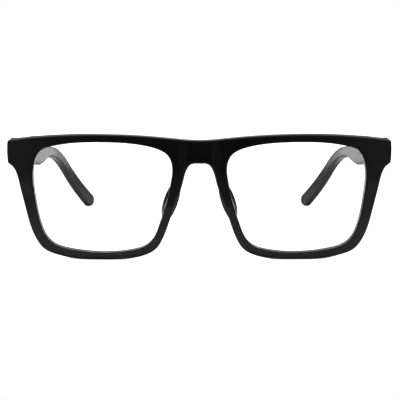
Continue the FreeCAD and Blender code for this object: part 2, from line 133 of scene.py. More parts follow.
def even_run(samples: Sequence[Vector], step: float) -> list[Vector]:
    """Space points evenly along a line of samples, keeping both ends.

    Args:
        samples: a dense line of points.
        step: the wanted distance between two points.

    Returns:
        The evenly spaced points.
    """
    lengths = [0.0]
    for before, after in zip(samples, samples[1:]):
        lengths.append(lengths[-1] + (after - before).length)
    count = max(1, round(lengths[-1] / step))
    run = []
    for k in range(count + 1):
        wanted = lengths[-1] * k / count
        i = min(max(bisect.bisect_right(lengths, wanted) - 1, 0), len(samples) - 2)
        share = (wanted - lengths[i]) / max(lengths[i + 1] - lengths[i], 1e-9)
        run.append(samples[i].lerp(samples[i + 1], within(share)))
    return run


def rounded_joint(before: list[Vector], after: list[Vector], cut: float) -> list[Vector]:
    """Join two lines that meet at a corner, with a soft turn in place of the corner.

    Args:
        before: the line that ends at the corner.
        after: the line that starts there.
        cut: how far from the corner the turn starts and ends.

    Returns:
        One line.
    """
    corner = before[-1]
    kept_before = [p for p in before if (p - corner).length > cut]
    kept_after = [p for p in after if (p - corner).length > cut]
    start, end = kept_before[-1], kept_after[0]
    pull, samples = 0.6, 9
    turn = interpolate_bezier(start, start.lerp(corner, pull), end.lerp(corner, pull), end, samples)
    return kept_before + list(turn)[1:-1] + kept_after


# Mesh helpers

def carry(bm: BMesh, edges: Iterable[BMEdge], *places: Placer) -> list[BMEdge]:
    """Extrude a row of edges once for each of places, and put the new points where their stations say.

    Args:
        bm: the mesh being built, whose points carry their station number.
        edges: the row to extrude.
        places: for each new row, gives a station's place.

    Returns:
        The last row of edges.
    """
    station = bm.verts.layers.int["station"]
    row = list(edges)
    for place in places:
        grown = bmesh.ops.extrude_edge_only(bm, edges=row)["geom"]
        for item in grown:
            if isinstance(item, BMVert):
                item.co = place(item[station])
        row = [item for item in grown if isinstance(item, BMEdge)]
    return row


def first_row(bm: BMesh, places: Sequence[Vector], closed: bool) -> list[BMEdge]:
    """Lay the first row of points and edges, numbered by station.

    Args:
        bm: an empty mesh.
        places: where the stations lie.
        closed: whether the last station joins the first.

    Returns:
        The row of edges.
    """
    station = bm.verts.layers.int.new("station")
    points = []
    for number, at in enumerate(places):
        point = bm.verts.new(at)
        point[station] = number
        points.append(point)
    pairs = list(zip(points, points[1:])) + ([(points[-1], points[0])] if closed else [])
    return [bm.edges.new(pair) for pair in pairs]


def fill(bm: BMesh, edges: Iterable[BMEdge]) -> None:
    """Close a ring of edges with a face."""
    bmesh.ops.contextual_create(bm, geom=edges)


def sharp_edges(bm: BMesh, least: float) -> list[BMEdge]:
    """The edges whose two faces meet at more than an angle, in degrees."""
    return [e for e in bm.edges if e.is_manifold and e.calc_face_angle(0) > math.radians(least)]


def soften(bm: BMesh, edges: Sequence[BMEdge], width: float, steps: int) -> None:
    """Round edges to a width with a number of steps."""
    bmesh.ops.bevel(bm, geom=list(edges), offset=width, offset_type="OFFSET", affect="EDGES", segments=steps,
                    profile=0.5, material=-1, clamp_overlap=True)


def in_scene(name: str, data: bpy.types.ID) -> Object:
    """Lay an object that holds data in the scene."""
    thing = bpy.data.objects.new(name, data)
    bpy.context.scene.collection.objects.link(thing)
    return thing


def new_piece(name: str, bm: BMesh, finish: Material, body: Body, slot: Slot,
              crease: float = 35.0, weighted: bool = False) -> Object:
    """Turn a mesh into a finished piece that rides on a body.

    Args:
        name: the piece's name.
        bm: the mesh in metres in the row frame, which is freed.
        finish: the piece's material.
        body: what it rides on.
        slot: not used.
        crease: the angle in degrees from which an edge stays crisp.
        weighted: whether large faces steer the shading of their edges.

    Returns:
        The new object.
    """
    bmesh.ops.recalc_face_normals(bm, faces=bm.faces[:])
    mesh = bpy.data.meshes.new(name)
    bm.to_mesh(mesh)
    bm.free()
    mesh.materials.append(finish)
    mesh.polygons.foreach_set("use_smooth", [True] * len(mesh.polygons))
    mesh.set_sharp_from_angle(angle=math.radians(crease))
    piece = in_scene(name, mesh)
    if weighted:
        shading = piece.modifiers.new("shading", "WEIGHTED_NORMAL")
        shading.keep_sharp = True
    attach(piece, body.value)
    LOG.info("%s: %d faces", name, len(mesh.polygons))
    return piece


# Shape of the front

@dataclass(frozen=True)
class Seat:
    """Where the maker's frame lies in the row frame, and how the temples slope from their joints."""

    back: float = -74.3482
    up: float = 0.0547
    slope: float = math.radians(7.7758)
    hinge_z: float = 40.1

    def place(self, x: float, y: float, z: float) -> Vector:
        """A point of the maker's frame, in metres in the row frame."""
        return Vector((x, y + self.back, z + self.up)) * MM

    def on_temple(self, x: float, back: float, up: float) -> Vector:
        """A point given by how far behind the joint and above the hinge's middle it lies."""
        y = JOINT_Y + back * math.cos(self.slope) + up * math.sin(self.slope)
        z = self.hinge_z - back * math.sin(self.slope) + up * math.cos(self.slope)
        return self.place(x, y, z)


@dataclass(frozen=True)
class Sheet:
    """The curved sheet that the front is cut from: a flat bridge, a soft bend and a long arc."""

    lens_x: float = 36.2
    lens_z: float = 23.45
    radius: float = 190.0
    wrap: float = math.radians(5.0)
    flat: float = 3.6
    bend_radius: float = 12.0
    bend: float = math.radians(12.0)
    thickness: float = 4.0

    def plan(self, x: float, depth: float = 0.0) -> float:
        """How far behind the face of the bridge the sheet lies at lens height.

        Args:
            x: the distance from the middle.
            depth: how deep in the sheet, square to its face.

        Returns:
            The distance back.
        """
        x = abs(x)
        tight = self.bend_radius
        arc_x = self.lens_x - self.radius * math.sin(self.wrap)
        hollow_x = self.flat + 2 * tight * math.sin(self.bend)
        hollow_y = tight - 2 * tight * math.cos(self.bend)
        ratio = tight / self.radius
        join_x = (hollow_x + ratio * arc_x) / (1 + ratio)
        turn = math.asin((arc_x - join_x) / self.radius)
        arc_y = tight * (1 + math.cos(turn)) - 2 * tight * math.cos(self.bend) + self.radius * math.cos(turn)
        if x <= self.flat:
            return depth
        if x <= self.flat + (tight - depth) * math.sin(self.bend):
            return tight - math.sqrt((tight - depth) ** 2 - (x - self.flat) ** 2)
        if x <= hollow_x + (tight + depth) * math.sin(turn):
            return hollow_y + math.sqrt((tight + depth) ** 2 - (x - hollow_x) ** 2)
        return arc_y - math.sqrt((self.radius - depth) ** 2 - (x - arc_x) ** 2)

    def y(self, x: float, z: float, depth: float = 0.0) -> float:
        """How far back the sheet lies at a point of its outline's plane."""
        reach = self.radius - self.plan(x, depth)
        return self.radius - math.sqrt(reach ** 2 - (z - self.lens_z) ** 2)


SEAT = Seat()
SHEET = Sheet()
HALF_WIDTH = 72.2
JOINT_Y = SHEET.plan(HALF_WIDTH) + 8.1


@dataclass(frozen=True)
class LensShape:
    """The outline of a lens in its box, and the ball that its curve belongs to."""

    width: float = 54.0
    height: float = 43.0
    curve: float = 132.0
    setback: float = 0.85
    thickness: float = 2.0

    def at(self, across: float, up: float, out: float = 0.0, over: float = 0.0) -> Vector:
        """A point placed by the lens box, whose sides lie at -1 and 1."""
        x = SHEET.lens_x + across * self.width / 2 + out
        return Vector((x, 0, SHEET.lens_z + up * self.height / 2 + over))

    def outline(self, inset: float, steps: int = 24) -> list[Vector]:
        """The closed outline, drawn in from the lens box by an inset."""
        shares = [(0.0, 1.0), (0.46, 0.975), (0.74, 0.91), (0.86, 0.85), (0.935, 0.735), (0.975, 0.6),
                  (1.0, 0.36), (0.98, 0.08), (0.937, -0.26), (0.885, -0.52), (0.815, -0.717),
                  (0.69, -0.863), (0.457, -0.951), (0.02, -1.0), (-0.417, -0.953), (-0.60, -0.88),
                  (-0.725, -0.74), (-0.811, -0.5), (-0.926, -0.054), (-0.978, 0.26), (-1.0, 0.47),
                  (-0.975, 0.66), (-0.925, 0.765), (-0.852, 0.837), (-0.68, 0.918), (-0.4, 0.978)]
        run = smooth_run([self.at(*share) for share in shares], steps, closed=True)
        return [p - n * inset for p, n in zip(run, outward(run, closed=True))]

    def ball_y(self, x: float, z: float, depth: float) -> float:
        """How far back a point of the lens's curved layer lies, at a depth behind the face."""
        radius = self.curve
        middle_x = SHEET.lens_x - math.sin(SHEET.wrap) * (depth + radius)
        middle_y = SHEET.plan(SHEET.lens_x) + math.cos(SHEET.wrap) * (depth + radius)
        return middle_y - math.sqrt(radius ** 2 - (x - middle_x) ** 2 - (z - SHEET.lens_z) ** 2)


def outward(run: Sequence[Vector], closed: bool) -> list[Vector]:
    """The direction square to a line that runs clockwise, in the outline's plane, at each point."""
    count = len(run)
    directions = []
    for i in range(count):
        before = run[(i - 1) % count] if closed or i > 0 else run[i]
        after = run[(i + 1) % count] if closed or i < count - 1 else run[i]
        along = (after - before).normalized()
        directions.append(Vector((-along.z, 0, along.x)))
    return directions


LENS = LensShape()


@dataclass
class Front:
    """The front: two rims, the brow, the bridge and the two thick end pieces."""

    lower_rim: float = 1.95
    brow_rise: float = 2.1
    end_height: float = 8.7
    end_drop: float = 0.5
    arch_height: float = 8.7
    arch_reach: float = 8.0
    arch_from: float = 26.0
    arch_lift: float = 6.0
    edge_round: float = 0.7
    opening_round: float = 0.45
    hidden_round: float = 0.02
    top_cut: float = 0.95
    low_cut: float = 0.55
    groove: float = 0.75
    lip: float = 0.18
    groove_from: float = 1.3
    groove_width: float = 1.1
    groove_bevel: float = 0.3
    spacing: float = 0.45
    across_rim: int = 9
    bridge_rows: int = 9
    block_length: float = 9.6
    block_slant: float = 2.2
    block_slope: float = 3.2
    block_step: float = 0.6
    block_from: float = 3.9
    block_sinks: Triple = (0.05, 0.2, 0.35)
    walls: list[Vector] = field(default_factory=list)

    def outline(self) -> list[Vector]:
        """Half of the outer outline, from the top of the bridge round to the arch over the nose."""
        top = SHEET.lens_z + LENS.height / 2
        arch = top - self.arch_height
        high = top - self.end_drop
        low = high - self.end_height
        top_corner = Vector((HALF_WIDTH - 0.2, 0, high))
        low_corner = Vector((HALF_WIDTH - 0.35, 0, low))
        crown = ((-0.83, 0.48), (-0.4, 0.88), (0, 1), (0.42, 0.9), (0.8, 0.6))
        brow = [Vector((0, 0, top)),
                *(LENS.at(across, 1, over=share * self.brow_rise) for across, share in crown), top_corner]
        # Across and up in the lens box, then how far out of it and above it.
        under = ((1, -0.2, 2.1), (1, -0.52, 0.3), (1, -1, -2.1, 4.9), (1, -1, -4.9, 1.6),
                 (1, -1, -10.0, -0.45), (0.4, -1, 0, -0.88 * self.lower_rim), (0.03, -1, 0, -self.lower_rim),
                 (-0.3, -1, 0, -0.86 * self.lower_rim), (-1, -1, 11.8, -0.3), (-1, -1, 7.35, 2.0),
                 (-1, -1, 4.6, 6.0), (-1, -0.35, 1.6), (-1, 0.0, -1.2), (-1, 0.3, -3.15))
        side_drop = ((2.6, 1.7), (4.0, 4.7), (5.0, 8.8))
        rim = [low_corner, *(Vector((HALF_WIDTH - x, 0, low - z)) for x, z in side_drop),
               *(LENS.at(*row) for row in under),
               *(Vector((x, 0, arch - z)) for x, z in ((4.75, 2.2), (3.3, 0.4), (0, 0)))]
        steps = 24
        far_brow = [Vector((-p.x, 0, p.z)) for p in brow[:0:-1]]
        far_rim = [Vector((-p.x, 0, p.z)) for p in rim[-2::-1]]
        brow_run = smooth_run(far_brow + brow, steps)[len(far_brow) * steps:]
        rim_run = smooth_run(rim + far_rim, steps)[:(len(rim) - 1) * steps + 1]
        side = [top_corner, Vector((HALF_WIDTH - 0.01, 0, (high + low) / 2 + 0.5)), low_corner]
        whole = rounded_joint(brow_run, smooth_run(side, steps), self.top_cut)
        return rounded_joint(whole, rim_run, self.low_cut)

    def stations(self) -> tuple[list[Vector], list[Vector], list[Vector], list[Vector]]:
        """The paired places round the rim.

        Returns:
            The points on the opening and the directions away from it, then the outer points, which
            end with those on the middle line, and the outward directions of those on the outline.
        """
        walls = even_run(self.outline(), self.spacing)
        directions = outward(walls, closed=False)
        directions[0], directions[-1] = Vector((0, 0, 1)), Vector((0, 0, -1))
        low, high = walls[-1].z + self.edge_round, walls[0].z - self.edge_round
        middle = [Vector((0, 0, low + (high - low) * k / self.bridge_rows))
                  for k in range(1, self.bridge_rows)]
        outer = walls + middle
        centre = Vector((SHEET.lens_x, 0, SHEET.lens_z))
        opening = LENS.outline(self.groove + self.lip, 40)
        away = outward(opening, closed=True)

        def turn(point: Vector) -> float:
            """A point's angle round the middle of the lens."""
            return math.atan2(point.z - centre.z, point.x - centre.x)

        def guide(point: Vector) -> Vector:
            """A point lifted near the arch, so that its line to the opening stays inside the bridge."""
            near = max(1 - point.x / self.arch_reach, 0) ** 1.5 if point.z > self.arch_from else 0
            down = within((walls[0].z - point.z) / self.arch_height)
            return point + Vector((0, 0, self.arch_lift * near * down))

        order = sorted(range(len(opening)), key=lambda i: turn(opening[i]))
        turns = [turn(opening[i]) for i in order]
        inner, inner_away = [], []
        for point in outer:
            wanted = turn(guide(point))
            k = bisect.bisect_left(turns, wanted)
            a, b = order[k - 1], order[k % len(order)]
            gap = (turns[k % len(order)] - turns[k - 1]) % math.tau
            share = ((wanted - turns[k - 1]) % math.tau) / gap
            inner.append(opening[a].lerp(opening[b], share))
            inner_away.append(away[a].lerp(away[b], share).normalized())
        self.walls = walls
        return inner, inner_away, outer, directions

    def on_block(self, point: Vector) -> bool:
        """Whether a point of the outline lies on the thick part of the end piece."""
        low = SEAT.hinge_z - self.end_height / 2
        return point.x > HALF_WIDTH - self.block_length - self.block_slant and point.z > low + 0.6

    def rim_mesh(self) -> BMesh:
        """The rim, brow and half bridge of the wearer's left side, closed except on the middle line."""
        inner, away, outer, directions = self.stations()
        wall_count = len(directions)
        thick = SHEET.thickness

        def spot(flat: Vector, depth: float) -> Vector:
            """A place in the sheet, from its place in the outline's plane and its depth."""
            return SEAT.place(flat.x, SHEET.y(flat.x, flat.z, depth), flat.z)

        def near_opening(out: float, depth: float, in_groove: bool = False) -> Placer:
            """Places a distance out from the opening, at a depth in the sheet or behind the groove's lip."""
            def place(i: int) -> Vector:
                """The place at one station, where the groove follows the lens's own curve."""
                flat = inner[i]
                lip = 0.0
                if in_groove:
                    lip = LENS.ball_y(flat.x, flat.z, self.groove_from) - SHEET.y(flat.x, flat.z)
                return spot(flat + away[i] * out, lip + depth)
            return place

        def back_round(i: int) -> float:
            """The rounding of the outline's back edge, which the end piece's thick part hides."""
            return self.hidden_round if self.on_block(outer[i]) else self.edge_round

        def across(share: float, depth: float) -> Placer:
            """Places at a share of the way over the rim, on the sheet's face or on its back."""
            def place(i: int) -> Vector:
                """The place at one station."""
                round_off = back_round(i) if depth else self.edge_round
                far = outer[i] - directions[i] * round_off if i < wall_count else outer[i]
                return spot((inner[i] + away[i] * self.opening_round).lerp(far, share), depth)
            return place

        def near_outline(inset: float, depth: float) -> Placer:
            """Places a distance in from the outer outline."""
            return lambda i: spot(outer[i] - directions[i] * inset, depth)

        bm = bmesh.new()
        lip = near_opening(0, 0, True)
        start = first_row(bm, [lip(i) for i in range(len(outer))], closed=True)
        turns = [math.radians(90 * k / 5) for k in range(6)]
        quarter = [(1 - math.cos(a), 1 - math.sin(a)) for a in turns]
        over_rim = [k / self.across_rim for k in range(1, self.across_rim + 1)]
        small, large = self.opening_round, self.edge_round
        row = carry(bm, start, *(near_opening(small * u, small * v) for u, v in quarter),
                    *(across(share, 0) for share in over_rim))
        station = bm.verts.layers.int["station"]
        row = [e for e in row if abs(e.verts[0][station] - e.verts[1][station]) == 1
               and max(v[station] for v in e.verts) < wall_count]
        carry(bm, row, *(near_outline(large * u, large * v) for u, v in quarter[-2::-1]),
              *(near_outline(0, thick * share) for share in (0.3, 0.5, 0.7)),
              *(lambda i, u=u, v=v: spot(outer[i] - directions[i] * back_round(i) * u,
                                         thick - back_round(i) * v) for u, v in quarter))
        deep, bevel, width = self.groove + self.lip, self.groove_bevel, self.groove_width
        groove = ((deep - bevel, 0), (deep, bevel), (deep, width - bevel), (deep - bevel, width), (0, width))
        carry(bm, start, *(near_opening(out, depth, True) for out, depth in groove),
              *(near_opening(small * u, thick - small * v) for u, v in quarter),
              *(across(share, thick) for share in over_rim))
        bmesh.ops.remove_doubles(bm, verts=bm.verts[:], dist=FINE_WELD)
        return bm

    def block_mesh(self) -> BMesh:
        """The thick end piece behind the sheet, whose flat back meets the temple."""
        edge = HALF_WIDTH - self.block_length
        slant = edge - self.block_slant
        step = LENS.outline(self.groove - self.block_step)
        low = SEAT.hinge_z - self.end_height / 2
        rise = math.tan(SEAT.slope)

        def step_x(z: float) -> float:
            """The temple side of the step round the opening, at a height."""
            near = [p.x for p in step if abs(p.z - z) < 0.35 and p.x > SHEET.lens_x]
            return max(near) if near else 0.0

        outer = [p for p in self.walls if p.x > edge and self.on_block(p)]
        top_z = outer[0].z
        inner_count = 12
        heights = [low + (top_z - low) * k / inner_count for k in range(inner_count + 1)]
        corner = Vector((outer[-1].x - 0.05, 0, low))

        def ring(limit: float, depth_of: Callable[[float, float], float], lift: float,
                 sink: float) -> list[Vector]:
            """One closed ring of the block, as places in the row frame, whose top sinks by a distance."""
            flat = [Vector((limit if i == 0 else p.x, 0, p.z - sink * within((p.z - 40) / 3)))
                    for i, p in enumerate(outer)]
            flat.append(corner + Vector((0, 0, lift)))
            for z in heights[:-1]:
                flat.append(Vector((max(limit, step_x(z)), 0, z + (lift if z == low else 0))))
            return [SEAT.place(p.x, depth_of(p.x, p.z), p.z) for p in flat]

        def joint(_: float, z: float) -> float:
            """How far back the joint plane lies at a height."""
            return JOINT_Y + (z - SEAT.hinge_z) * rise

        first, second, last = self.block_sinks
        rings = [ring(slant, lambda x, z: SHEET.y(x, z, self.block_from), 5 * rise, first),
                 ring(slant, lambda x, z: joint(x, z) - self.block_slope, self.block_slope * rise, second),
                 ring(edge, joint, 0.0, last)]
        bm = bmesh.new()
        row = first_row(bm, rings[0], closed=True)
        fill(bm, row)
        row = carry(bm, row, *(places.__getitem__ for places in rings[1:]))
        fill(bm, row)
        bmesh.ops.recalc_face_normals(bm, faces=bm.faces[:])
        soften(bm, sharp_edges(bm, 35), 0.15 * MM, 2)
        return bm

    def build(self, finish: Material) -> Object:
        """Make the whole front and let it stand for the plain one.

        Args:
            finish: the acetate.

        Returns:
            The front.
        """
        bm = self.rim_mesh()
        block = self.block_mesh()
        scratch = bpy.data.meshes.new("end_block")
        block.to_mesh(scratch)
        block.free()
        bm.from_mesh(scratch)
        bpy.data.meshes.remove(scratch)
        bmesh.ops.mirror(bm, geom=bm.verts[:] + bm.edges[:] + bm.faces[:], axis="X", merge_dist=WELD)
        piece = new_piece("front_acetate", bm, finish, Body.FRONT, Slot.ACETATE)
        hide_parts("front")
        return piece


# Temples

@dataclass
class Temples:
    """The two temples: wide in front, swept up to a neck, then bent down over the ear."""

    thickness: float = 3.6
    tip_thickness: float = 2.4
    inset: float = 0.1
    lean: float = math.radians(2.5)
    straight: float = 80.0
    inward_radius: float = 140.0
    wide: float = 50.0
    bend_at: float = 87.0
    bend_radius: float = 43.5
    bend: float = math.radians(32.7)
    tail: float = 26.8
    top: float = 4.55
    bottom: float = -4.35
    neck: float = 2.4
    neck_width: float = 4.7
    tail_width: float = 4.7
    tip_width: float = 6.1
    edge_round: float = 0.8
    gap: float = 0.12
    leaf_end: float = 9.2
    leaf_run_out: float = 11.5
    rung_step: float = 1.5

    def path(self, share: float) -> Triple:
        """The tail's middle line, from 0 to 1 in the bend and on to 2: how far back, how high, how steep."""
        turn = self.bend * min(share, 1)
        back = self.bend_at + self.bend_radius * math.sin(turn)
        up = self.neck - self.bend_radius * (1 - math.cos(turn))
        run = self.tail * max(share - 1, 0)
        return back + run * math.cos(turn), up - run * math.sin(turn), turn

    def curved(self, back: float, start: float, radius: float) -> float:
        """The x of a face seen from above, at a distance back."""
        if back <= self.straight:
            return start - back * math.tan(self.lean)
        start -= self.straight * math.tan(self.lean)
        along = back - self.straight + radius * math.sin(self.lean)
        return start - radius * math.cos(self.lean) + math.sqrt(radius ** 2 - along ** 2)

    def inner_x(self, back: float) -> float:
        """The inner face at a distance back, which stays level round the leaf of the hinge."""
        level = HALF_WIDTH - self.inset - self.thickness
        leaning = self.curved(back, level, self.inward_radius)
        share = within((back - self.leaf_end) / (self.leaf_run_out - self.leaf_end))
        return level + (leaning - level) * share

    def outer_x(self, back: float) -> float:
        """The outer face at a distance back, which closes in on the inner one towards the tip."""
        end = self.path(2)[0] + self.tip_width
        start = HALF_WIDTH - self.inset - self.thickness + self.thickness / math.cos(self.lean)
        run = end - self.straight
        drop = start - self.straight * math.tan(self.lean) - self.inner_x(end) - self.tip_thickness
        radius = (run ** 2 + drop ** 2) / (2 * (drop * math.cos(self.lean) - run * math.sin(self.lean)))
        return self.curved(back, start, radius)

    def rungs(self) -> list[tuple[Vector, Vector]]:
        """Pairs of points on the upper and the lower edge, as distance back and height."""
        length = self.bend_at - self.wide
        under_neck = self.neck - self.neck_width / 2
        steps = 30
        edge = ((self.wide, self.bottom),
                (self.wide + 0.28 * length, self.bottom + 0.25 * (self.neck - self.bottom)),
                (self.wide + 0.66 * length, self.neck - 0.54 * self.neck_width),
                (self.bend_at, under_neck), (self.bend_at + 12.2, under_neck - 1.9))
        sweep = smooth_run([Vector((back, 0, up)) for back, up in edge], steps)[:-steps]

        def top_at(back: float) -> float:
            """The height of the straight upper edge."""
            return self.top + (self.neck + self.neck_width / 2 - self.top) * back / self.bend_at

        pairs = []
        plain = [self.gap, 1.0, 5.0, self.leaf_end, self.leaf_run_out] + [5.0 * k for k in range(3, 10)]
        for back in plain + [self.wide - 0.4]:
            pairs.append((Vector((back, 0, top_at(back))), Vector((back, 0, self.bottom))))
        for low in even_run(sweep, self.rung_step)[:-1]:
            pairs.append((Vector((low.x, 0, top_at(low.x))), low))
        widths = (self.neck_width, self.tail_width, self.tip_width)
        per_stretch = 12
        for k in range(2 * per_stretch + 1):
            share = k / per_stretch
            back, up, turn = self.path(share)
            first = min(int(share), 1)
            half = (widths[first] + (widths[first + 1] - widths[first]) * (share - first)) / 2
            lift = Vector((math.sin(turn), 0, math.cos(turn))) * half
            middle = Vector((back, 0, up))
            pairs.append((middle + lift, middle - lift))
        return pairs

    def mesh(self, sign: float) -> BMesh:
        """One temple in metres in the row frame, for the wearer's left (1) or right (-1)."""
        sections = [[Vector((side, *point.xz)) for side, point in ((0, low), (0, high), (1, high), (1, low))]
                    for high, low in self.rungs()]
        bm = bmesh.new()
        row = first_row(bm, sections[0], closed=True)
        cap = set(row)
        fill(bm, row)
        row = carry(bm, row, *(spots.__getitem__ for spots in sections[1:]))
        station = bm.verts.layers.int["station"]
        back, up, _ = self.path(2)
        upper_edge = [e for e in row if {v[station] for v in e.verts} == {1, 2}]
        bmesh.ops.spin(bm, geom=upper_edge, cent=Vector((0, back, up)), axis=Vector((1, 0, 0)), dvec=Vector(),
                       angle=-math.pi, steps=18, use_merge=False)
        bmesh.ops.remove_doubles(bm, verts=bm.verts[:], dist=0.01)
        for side in (0.0, 1.0):
            rim = [e for e in bm.edges if e.is_boundary and all(abs(v.co.x - side) < 0.01 for v in e.verts)]
            fill(bm, rim)
        for v in bm.verts:
            x = self.inner_x(v.co.y) if v.co.x < 0.5 else self.outer_x(v.co.y)
            v.co = SEAT.on_temple(x * sign, v.co.y, v.co.z)
        bmesh.ops.recalc_face_normals(bm, faces=bm.faces[:])
        soften(bm, [e for e in sharp_edges(bm, 40) if e not in cap], self.edge_round * MM, 5)
        soften(bm, sharp_edges(bm, 60), 0.1 * MM, 2)
        return bm

    def build(self, finish: Material) -> None:
        """Make both temples and let them stand for the plain ones."""
        for side, sign in SIDES.items():
            body = Body.LEFT if side == "left" else Body.RIGHT
            piece = new_piece("temple_acetate_" + side, self.mesh(sign), finish, body, Slot.ACETATE,
                              weighted=True)
            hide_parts("temple_" + side)


# Lenses and nose pads

@dataclass
class Lenses:
    """The clear lenses, each with a bevel all round that sits in the rim's groove."""

    body_inset: float = 0.98
    tongue_inset: float = 0.05
    tongue_from: float = 0.5
    tongue_width: float = 1.0
    tongue_bevel: float = 0.3

    def mesh(self, sign: float) -> BMesh:
        """One lens, for the wearer's left (1) or right (-1)."""
        body = LENS.outline(self.body_inset, 8)
        tongue = LENS.outline(self.tongue_inset, 8)
        slope = LENS.outline(self.tongue_inset + self.tongue_bevel, 8)
        centre = Vector((SHEET.lens_x, 0, SHEET.lens_z))
        first = LENS.setback
        tongue_at = first + self.tongue_from

        def spot(flat: Vector, depth: float) -> Vector:
            """A place in the lens, from its place in the outline's plane and its depth."""
            return SEAT.place(flat.x * sign, LENS.ball_y(flat.x, flat.z, depth), flat.z)

        bm = bmesh.new()
        start = first_row(bm, [spot(p, first) for p in body], closed=True)

        def dome(row: list[BMEdge], depth: float) -> None:
            """Close one face of the lens with rings that shrink to its middle."""
            shares = (0.97, 0.9, 0.8, 0.68, 0.54, 0.4, 0.26, 0.13, 0.05)
            row = carry(bm, row, *(lambda i, share=share: spot(centre.lerp(body[i], share), depth)
                                   for share in shares))
            fill(bm, row)

        tongue_end = tongue_at + self.tongue_width
        edge_rows = ((body, tongue_at), (slope, tongue_at), (tongue, tongue_at + self.tongue_bevel),
                     (tongue, tongue_end - self.tongue_bevel), (slope, tongue_end), (body, tongue_end),
                     (body, first + LENS.thickness))
        row = carry(bm, start, *(lambda i, outline=outline, depth=depth: spot(outline[i], depth)
                                 for outline, depth in edge_rows))
        dome(row, first + LENS.thickness)
        dome(start, first)
        return bm

    def build(self, finish: Material, edge: Material) -> None:
        """Make both lenses and let them stand for the plain ones.

        Args:
            finish: the clear finish of the two faces.
            edge: the finish of the ground edge.
        """
        for side, sign in SIDES.items():
            piece = new_piece("lens_clear_" + side, self.mesh(sign), finish, Body.FRONT, Slot.LENS)
            piece.data.materials.append(edge)
            for face in piece.data.polygons:
                if abs(face.normal.y) < 0.8:
                    face.material_index = 1
            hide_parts("lens_" + side)


@dataclass
class NosePads:
    """The two pads: fins of acetate on the backs of the nasal rims, with soft rounded edges."""

    length: float = 15.0
    width: float = 4.0
    depth: float = 7.6
    splay: float = 2.0
    lean: float = math.radians(19.0)
    out: float = 1.26
    drop: float = 1.65
    bridge: float = 18.4

    def mesh(self, sign: float) -> BMesh:
        """One pad, for the wearer's left (1) or right (-1)."""
        bm = bmesh.new()
        count = 48
        ring = [math.tau * k / count for k in range(count)]

        def spot(share: float) -> Placer:
            """Places round the pad at a share of its depth."""
            swell = math.sqrt(1 - max(share, 0) ** 3)
            middle_x = self.bridge / 2 + self.out + share * self.splay

            def place(i: int) -> Vector:
                """One place of the oval."""
                along = self.length / 2 * swell * math.sin(ring[i])
                side = self.width / 2 * swell * math.cos(ring[i])
                x = middle_x + side * math.cos(self.lean) - along * math.sin(self.lean)
                z = SHEET.lens_z - self.drop + side * math.sin(self.lean) + along * math.cos(self.lean)
                return SEAT.place(x * sign, SHEET.thickness + share * self.depth, z)
            return place

        at = spot(-0.18)
        row = first_row(bm, [at(i) for i in range(count)], closed=True)
        fill(bm, row)
        shares = (0.0, 0.12, 0.24, 0.36, 0.48, 0.58, 0.68, 0.76, 0.83, 0.88, 0.92, 0.95, 0.975, 0.99, 0.998)
        row = carry(bm, row, *(spot(share) for share in shares))
        fill(bm, row)
        return bm

    def build(self, finish: Material) -> None:
        """Make both pads and let them stand for the plain ones."""
        for side, sign in SIDES.items():
            piece = new_piece("nose_pad_acetate_" + side, self.mesh(sign), finish, Body.FRONT, Slot.ACETATE)
            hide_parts("nose_pad_" + side)


# Finishes

def set_inputs(node: Node, values: dict[str, object]) -> None:
    """Give a node's unjoined inputs their values."""
    for name, value in values.items():
        node.inputs[name].default_value = value


class Nodes:
    """A short way to lay and join shader nodes."""

    def __init__(self, tree: NodeTree) -> None:
        """Start with a node tree.

        Args:
            tree: the tree of a material, a world or a group.
        """
        self.tree = tree

    def add(self, kind: str, **values: object) -> Node:
        """Lay a node and set its properties."""
        node = self.tree.nodes.new(kind)
        for name, value in values.items():
            setattr(node, name, value)
        return node

    def join(self, source: NodeSocket, target: NodeSocket) -> None:
        """Join two sockets."""
        self.tree.links.new(source, target)

    def place(self) -> NodeSocket:
        """The place on the object."""
        return self.add("ShaderNodeTexCoord").outputs["Object"]

    def axes(self, value: NodeSocket) -> Iterable[NodeSocket]:
        """A place's or a direction's X, Y and Z."""
        node = self.add("ShaderNodeSeparateXYZ")
        self.join(value, node.inputs[0])
        return node.outputs

    def noise(self, place: NodeSocket, scale: float, detail: float) -> NodeSocket:
        """A noise pattern's value on a place."""
        node = self.add("ShaderNodeTexNoise")
        set_inputs(node, {"Scale": scale, "Detail": detail})
        self.join(place, node.inputs["Vector"])
        return node.outputs["Fac"]

    def spread(self, value: NodeSocket, low: float, high: float, to_low: float = 0.0,
               to_high: float = 1.0) -> NodeSocket:
        """A value's range carried over to another."""
        node = self.add("ShaderNodeMapRange", clamp=True)
        set_inputs(node, {"From Min": low, "From Max": high, "To Min": to_low, "To Max": to_high})
        self.join(value, node.inputs["Value"])
        return node.outputs["Result"]

    def ramp(self, value: NodeSocket, stops: Sequence[tuple[float, float]]) -> NodeSocket:
        """Grey levels along a value, each stop a place from 0 to 1 and a level."""
        node = self.add("ShaderNodeValToRGB")
        elements = node.color_ramp.elements
        while len(elements) < len(stops):
            elements.new(0.5)
        for element, (at, level) in zip(elements, stops):
            element.position = at
            element.color = (level, level, level, 1)
        self.join(value, node.inputs["Fac"])
        return node.outputs["Color"]

    def fold(self, operation: str, value: NodeSocket, *others: NodeSocket) -> NodeSocket:
        """Values put together, one after another, by an operation."""
        for other in others:
            node = self.add("ShaderNodeMath", operation=operation)
            self.join(value, node.inputs[0])
            self.join(other, node.inputs[1])
            value = node.outputs[0]
        return value

    def marked(self, marks: NodeTree, scratches: float, smears: float, least: float) -> Node:
        """The shared marks, at a strength of scratches and of smears and over a least roughness."""
        group = self.add("ShaderNodeGroup", node_tree=marks)
        set_inputs(group, {"Scratches": scratches, "Smears": smears, "Least Roughness": least})
        return group


